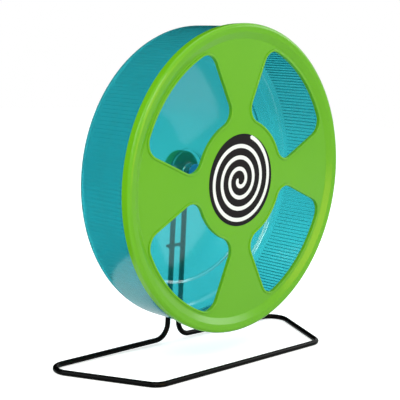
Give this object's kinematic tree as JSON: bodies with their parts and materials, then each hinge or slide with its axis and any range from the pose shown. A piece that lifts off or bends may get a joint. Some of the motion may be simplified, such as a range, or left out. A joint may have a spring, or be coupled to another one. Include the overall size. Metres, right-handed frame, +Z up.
{
  "type": "rodent exercise wheel",
  "caption": "Upright exercise wheel for a small rodent: ribbed see-through drum, windowed front cover with a spiral, ball-bearing hub, bent wire stand.",
  "frame": {"origin": "on the floor, under the middle of the whole object", "axes": "+Z up, +Y along the axle from the open, windowed front to the back, +X to the right seen from the front"},
  "size_m": [0.3082, 0.1149, 0.308],
  "materials": {
    "clear_turquoise": "see-through moulded polystyrene, polished",
    "green_plastic": "moulded, glossy",
    "black_label": "printed film with a plain white spiral",
    "clear_blue": "see-through moulded polystyrene, polished",
    "black_wire": "black powder coat, glossy",
    "bright_steel": "nickel-plated steel",
    "bearing_steel": "ground steel",
    "zinc_steel": "zinc-plated steel",
    "cage_brass": "pressed brass"
  },
  "bodies": {
    "stand": {"stand_wire": "black_wire", "cross_brace": "black_wire", "holder_front": "green_plastic", "holder_rear": "green_plastic", "holder_screws": "zinc_steel", "axle_bolt": "bright_steel", "head_washer": "zinc_steel", "race_spacer": "zinc_steel", "nut_washer": "zinc_steel", "axle_nut": "bright_steel", "front_bearing_inner_race": "bearing_steel", "rear_bearing_inner_race": "bearing_steel"},
    "wheel": {"running_drum": "clear_turquoise", "front_cover": "green_plastic", "spiral_disc": "black_label", "hub_cap": "clear_blue", "front_bearing_outer_race": "bearing_steel", "front_bearing_shields": "zinc_steel", "rear_bearing_outer_race": "bearing_steel", "rear_bearing_shields": "zinc_steel"},
    "front_ball_set": {"front_bearing_balls": "bearing_steel", "front_bearing_cage": "cage_brass"},
    "rear_ball_set": {"rear_bearing_balls": "bearing_steel", "rear_bearing_cage": "cage_brass"}
  },
  "joints": [
    {"name": "wheel_spin", "type": "hinge", "parent": "stand", "child": "wheel", "pos_m": [0, 0, 0.168], "axis": [0, 1, 0], "continuous": true},
    {"name": "front_balls_spin", "type": "hinge", "parent": "stand", "child": "front_ball_set", "pos_m": [0, 0, 0.168], "axis": [0, 1, 0], "continuous": true},
    {"name": "rear_balls_spin", "type": "hinge", "parent": "stand", "child": "rear_ball_set", "pos_m": [0, 0, 0.168], "axis": [0, 1, 0], "continuous": true}
  ],
  "couplings": [
    {"joint": "front_balls_spin", "follows": "wheel_spin", "ratio": 0.6},
    {"joint": "rear_balls_spin", "follows": "wheel_spin", "ratio": 0.6}
  ]
}
